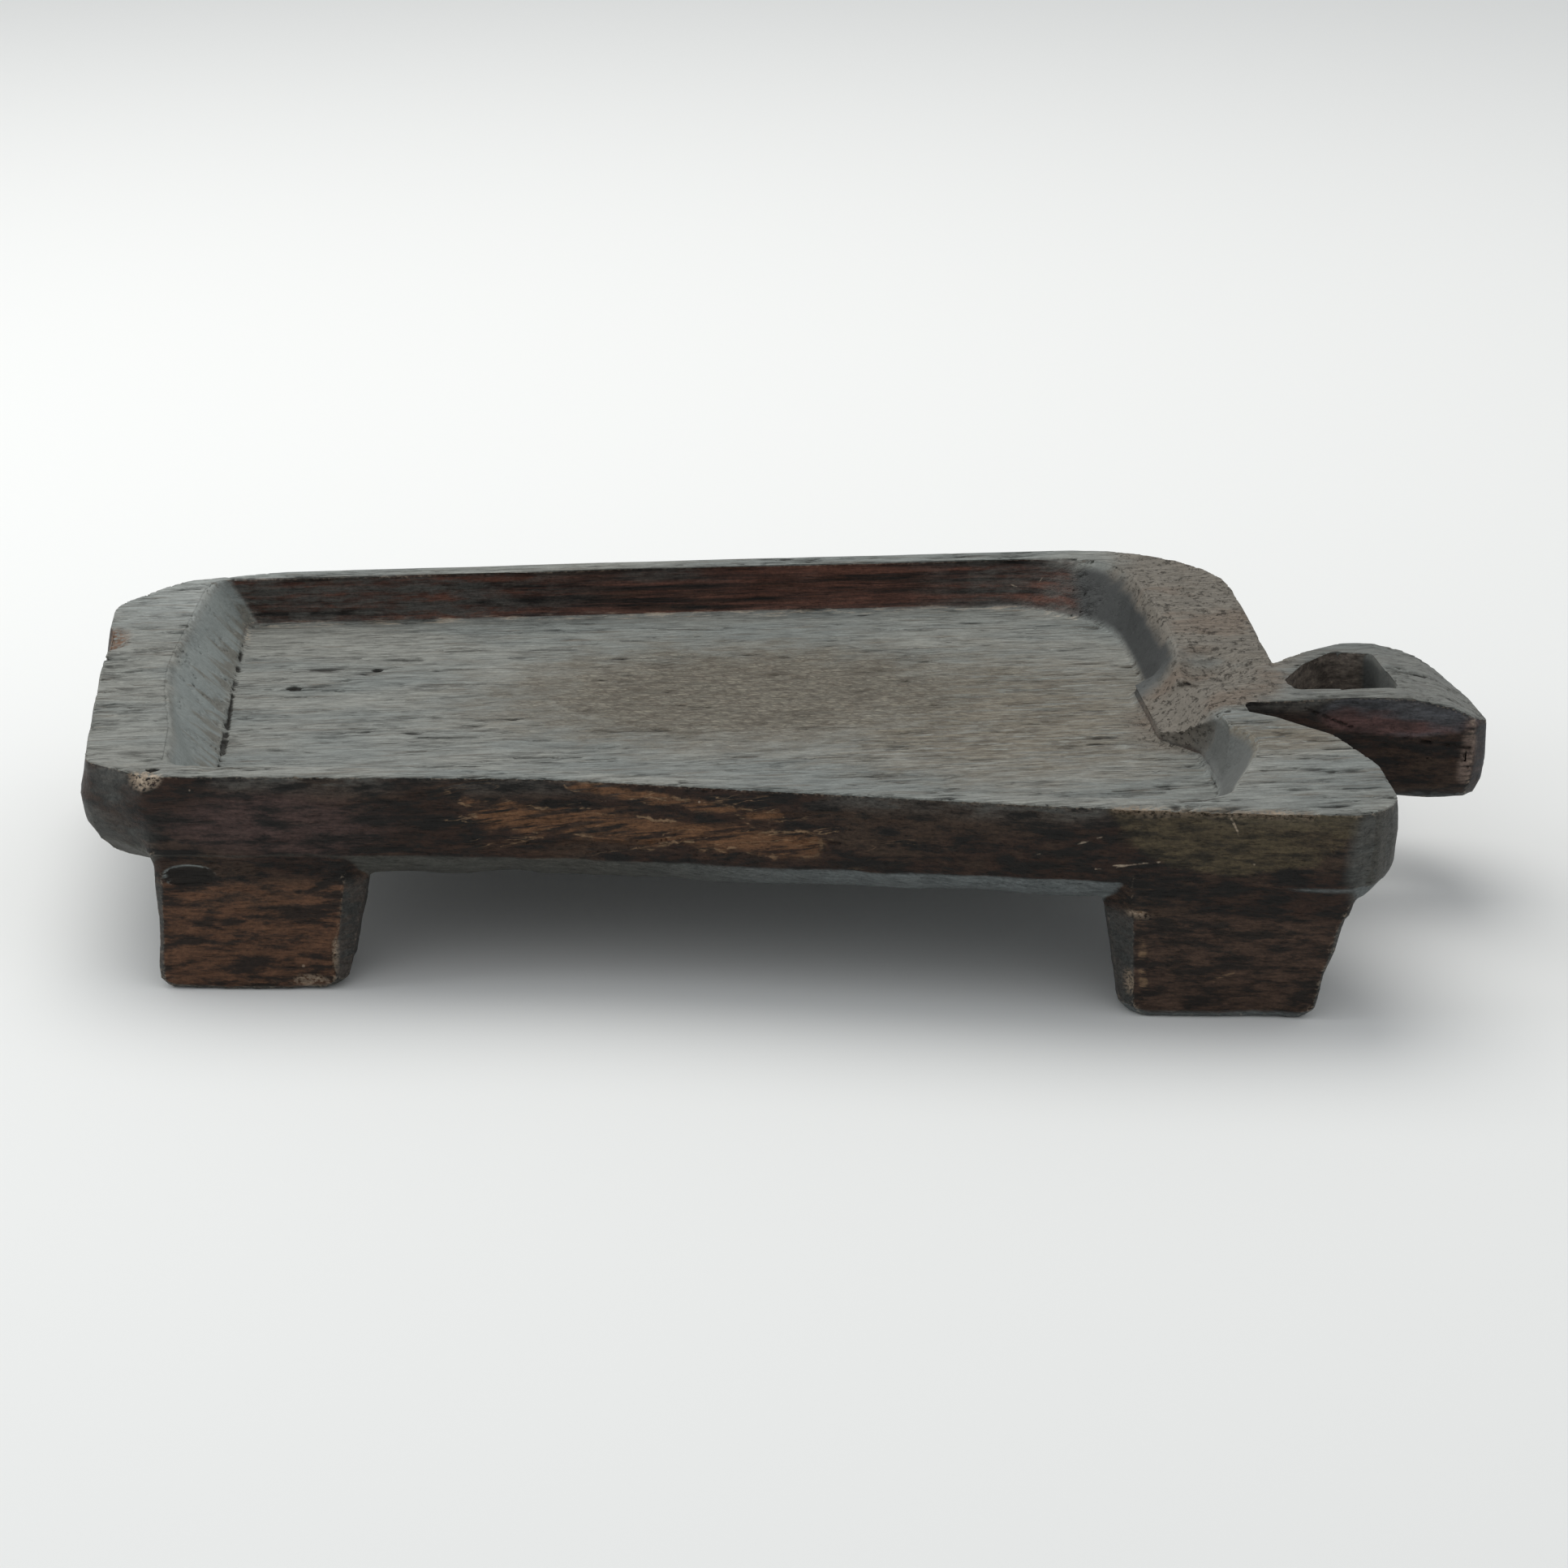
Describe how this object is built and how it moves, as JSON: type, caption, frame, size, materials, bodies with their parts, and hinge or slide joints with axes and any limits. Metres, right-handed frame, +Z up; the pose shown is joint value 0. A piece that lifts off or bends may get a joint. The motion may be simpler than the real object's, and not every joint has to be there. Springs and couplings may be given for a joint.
{
  "type": "footed wooden tray",
  "caption": "Low hand-hewn wooden tray on block feet, with a shallow slanting well, a raised tongue and a pierced grip at one end.",
  "frame": {"origin": "middle of the object's footprint, on the plane its feet stand on", "axes": "+X towards the grip along the length, +Y towards the straight long side, +Z up"},
  "size_m": [0.6434, 0.3982, 0.098],
  "materials": {
    "weathered_top": "weathered grey-green, worn open grain",
    "dark_side": "dark red-brown, oiled and soot-darkened",
    "foot_wood": "worn brown, satin"
  },
  "bodies": {
    "root": {"tray_body": "weathered_top", "handle": "dark_side", "foot_front_left": "foot_wood", "foot_front_right": "foot_wood", "foot_back_left": "foot_wood", "foot_back_right": "foot_wood"}
  },
  "joints": []
}
